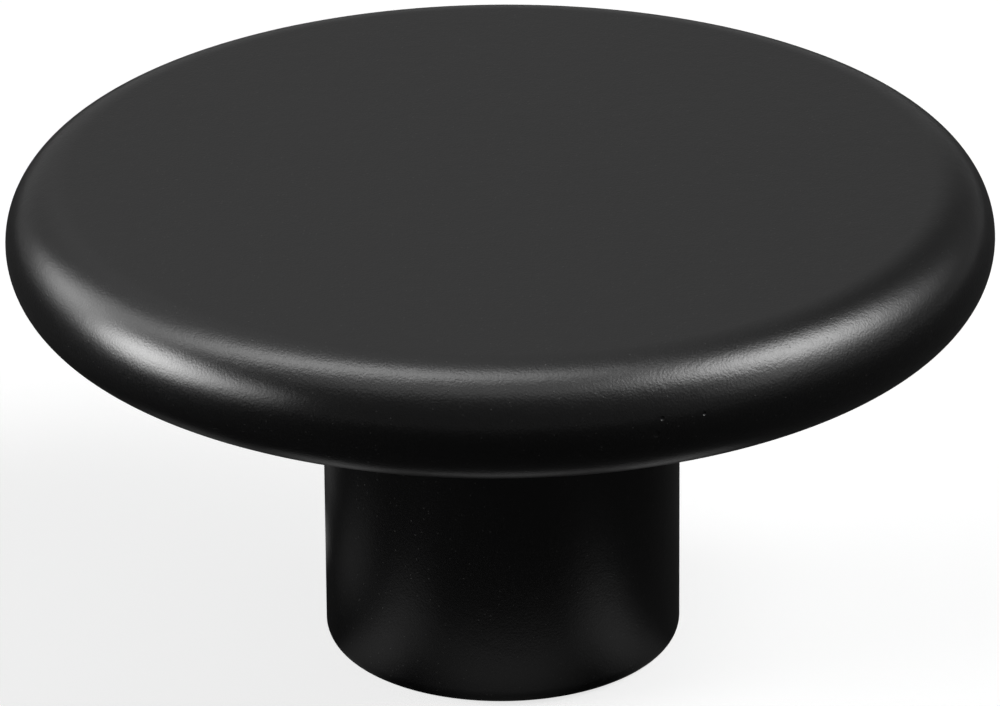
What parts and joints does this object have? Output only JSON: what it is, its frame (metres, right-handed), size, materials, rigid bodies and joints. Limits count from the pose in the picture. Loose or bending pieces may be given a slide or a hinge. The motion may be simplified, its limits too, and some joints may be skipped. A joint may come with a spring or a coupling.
{
  "type": "cabinet knob",
  "caption": "Round flat-headed mushroom knob on a straight stem, matt black, fixed from behind by a screw into its tapped foot.",
  "frame": {"origin": "centre of the stem's flat end, the foot that sits on the door or drawer front", "axes": "+Z runs along the knob's axis from the foot to the head's flat top; the knob is round about Z, so X and Y point anywhere"},
  "size_m": [0.05, 0.05, 0.0255],
  "materials": {
    "black_paint": "satin"
  },
  "bodies": {
    "root": {"knob": "black_paint"}
  },
  "joints": []
}
